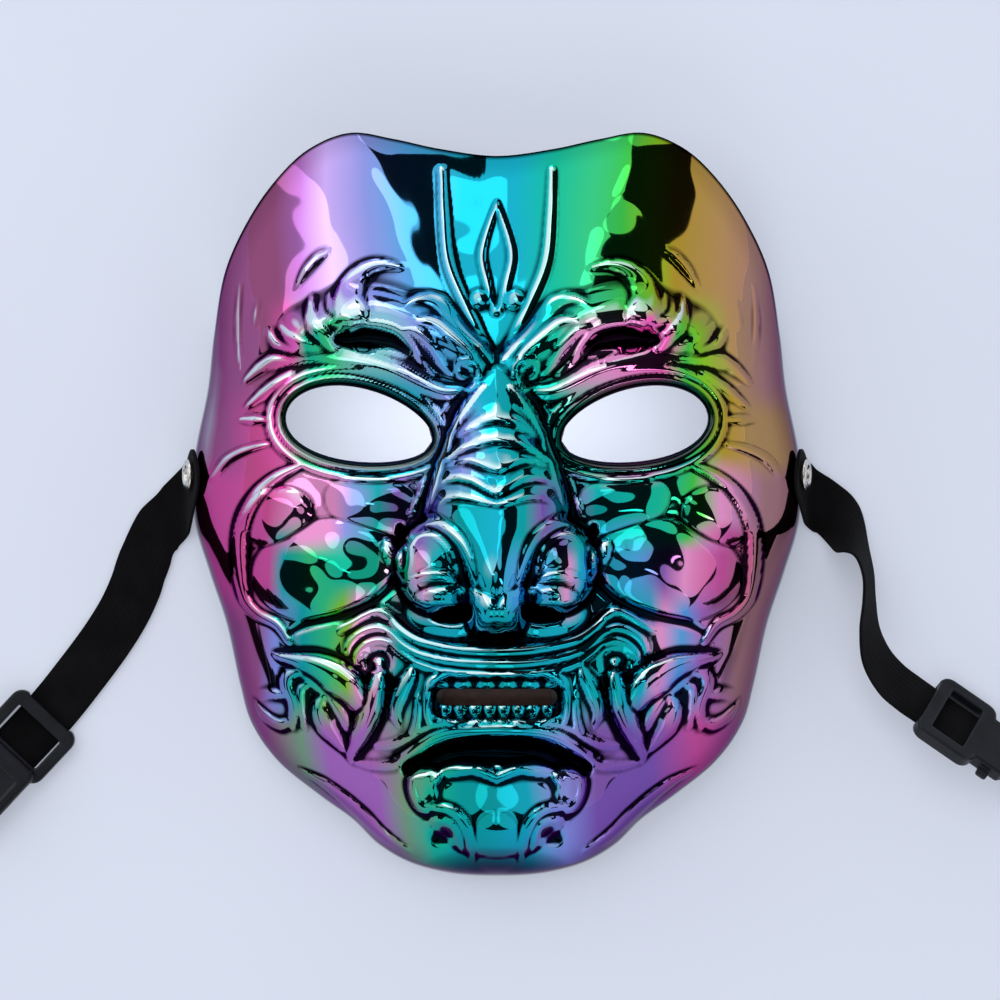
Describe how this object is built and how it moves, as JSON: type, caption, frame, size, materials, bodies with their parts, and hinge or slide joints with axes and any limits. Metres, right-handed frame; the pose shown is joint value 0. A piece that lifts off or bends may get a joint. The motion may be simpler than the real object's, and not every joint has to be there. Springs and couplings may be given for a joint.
{
  "type": "face mask",
  "caption": "Full-face warrior mask in plated plastic: carved brows, broad nose, tusks and open eyes, with a black elastic band ending in a side-release buckle.",
  "frame": {"origin": "middle of the bounding box at the floor, under the mask that lies face up on its rim", "axes": "+X across the face to the viewer's right, +Y to the forehead, +Z out of the face"},
  "size_m": [0.3685, 0.2399, 0.0831],
  "materials": {
    "shell": "mirror plating with an iridescent tint",
    "backing": "dull",
    "rivet": "polished",
    "band": "woven elastic",
    "buckle": "satin"
  },
  "bodies": {
    "root": {"mask_shell": "shell", "mouth_backing": "backing", "rivet_left": "rivet", "rivet_right": "rivet", "strap_left": "band", "strap_right": "band", "buckle_left": "buckle", "buckle_right": "buckle"}
  },
  "joints": []
}
